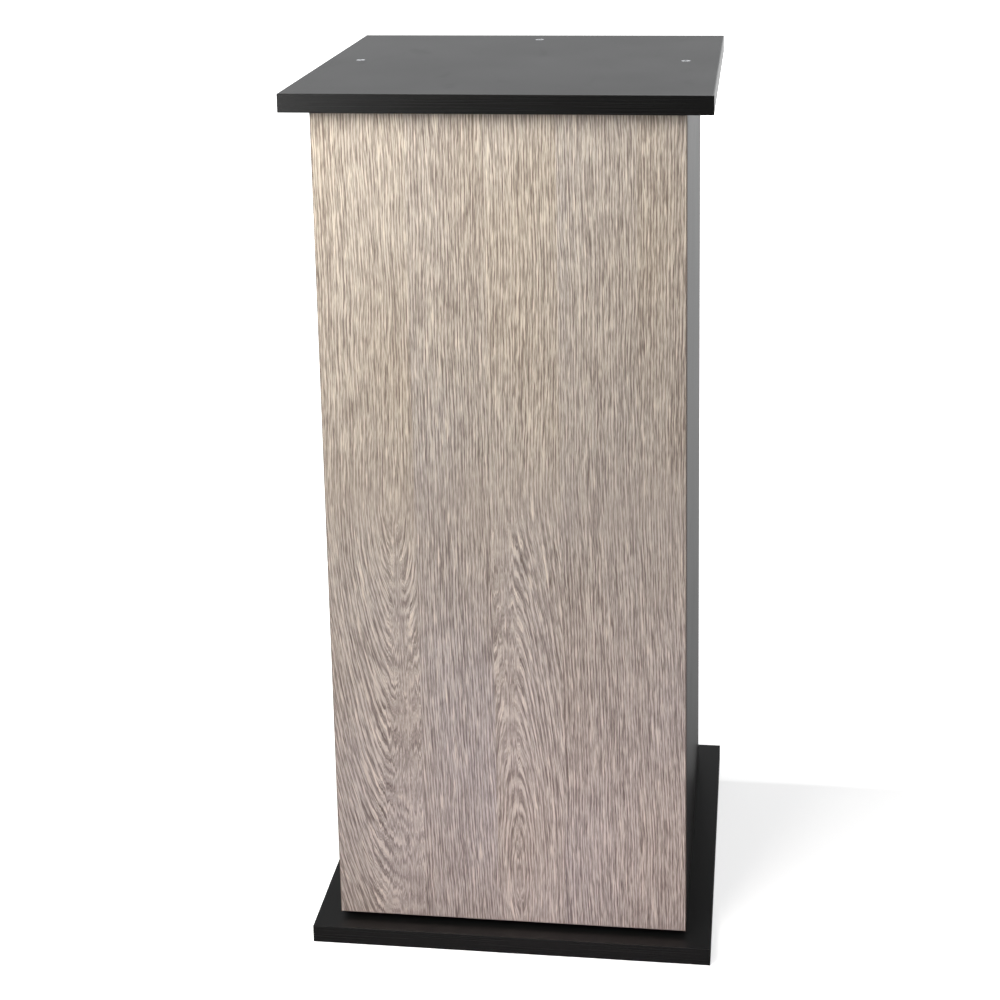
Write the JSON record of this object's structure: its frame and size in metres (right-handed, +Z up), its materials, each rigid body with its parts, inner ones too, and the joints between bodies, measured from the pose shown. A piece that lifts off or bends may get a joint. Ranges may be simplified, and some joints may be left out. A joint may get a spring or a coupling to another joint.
{
  "type": "aquarium stand cabinet",
  "caption": "Tall square cabinet that carries an aquarium, with overhanging top and base boards, a push-open door, a shelf inside and a hose port.",
  "frame": {"origin": "centre of the footprint, on the floor under the base board", "axes": "+Z up, door faces -Y, back at +Y, +X to the right as seen from the door"},
  "size_m": [0.4, 0.4, 0.87],
  "materials": {
    "black_melamine": "matt black melamine-faced chipboard",
    "black_edging": "matt black ABS edge band",
    "oak_decor": "grey limed-oak decor, vertical grain, on chipboard",
    "oak_edging": "dark grey-brown ABS edge band",
    "nickel_steel": "nickel-plated pressed steel",
    "zinc_screw": "bright zinc-plated steel",
    "zinc_casting": "die-cast zinc, satin",
    "beech": "unfinished fluted beech",
    "black_plastic": "fine-textured black moulded plastic",
    "grey_plastic": "light grey moulded plastic",
    "spring_steel": "bright spring wire",
    "magnet": "nickel-coated magnet"
  },
  "bodies": {
    "carcass": {"top_board": "black_melamine", "base_board": "black_melamine", "side_panel_left": "black_melamine", "side_panel_right": "black_melamine", "back_panel": "black_melamine", "shelf_board": "black_melamine", "top_edge_bands": "black_edging", "base_edge_bands": "black_edging", "side_edge_bands_left": "black_edging", "side_edge_bands_right": "black_edging", "shelf_edge_band": "black_edging", "hose_grommet": "black_plastic", "latch_housing": "grey_plastic", "top_screws": "zinc_screw", "base_screws": "zinc_screw", "cam_bolts": "zinc_screw", "cam_locks": "zinc_casting", "top_dowels": "beech", "base_dowels": "beech", "back_dowels": "beech", "shelf_pins": "nickel_steel", "hinge_arm_upper": "nickel_steel", "hinge_arm_lower": "nickel_steel", "hinge_plate_upper": "nickel_steel", "hinge_plate_lower": "nickel_steel", "hinge_arm_pins": "zinc_screw", "hinge_arm_screws": "zinc_screw", "hinge_plate_screws": "zinc_screw", "latch_screws": "zinc_screw", "latch_spring": "spring_steel"},
    "hinge_outer_links": {"hinge_outer_links": "nickel_steel"},
    "door": {"door_board": "oak_decor", "door_edge_bands": "oak_edging", "hinge_cup_upper": "nickel_steel", "hinge_cup_lower": "nickel_steel", "hinge_cup_screws": "zinc_screw", "hinge_cup_pins": "zinc_screw", "strike_plate": "nickel_steel", "strike_screw": "zinc_screw"},
    "hinge_inner_links": {"hinge_inner_links": "nickel_steel"},
    "latch_plunger": {"latch_plunger": "grey_plastic", "plunger_magnet": "magnet"}
  },
  "joints": [
    {"name": "outer_link_swing", "type": "hinge", "parent": "carcass", "child": "hinge_outer_links", "pos_m": [-0.1381, -0.158, 0.436], "axis": [0, 0, 1], "range_deg": [0, 27.6]},
    {"name": "door_swing", "type": "hinge", "parent": "hinge_outer_links", "child": "door", "pos_m": [-0.1647, -0.1637, 0.436], "axis": [0, 0, -1], "range_deg": [0, 132.6]},
    {"name": "inner_link_swing", "type": "hinge", "parent": "carcass", "child": "hinge_inner_links", "pos_m": [-0.142, -0.15, 0.436], "axis": [0, 0, 1], "range_deg": [0, 27.6]},
    {"name": "latch_plunger_slide", "type": "slide", "parent": "carcass", "child": "latch_plunger", "axis": [0, -1, 0], "range_m": [0, 0.0141], "deforming": ["latch_spring"]}
  ],
  "couplings": [
    {"joint": "outer_link_swing", "follows": "door_swing", "ratio": 0.208},
    {"joint": "inner_link_swing", "follows": "door_swing", "ratio": 0.208},
    {"joint": "latch_plunger_slide", "follows": "door_swing", "m_per_rad": 0.00605}
  ]
}
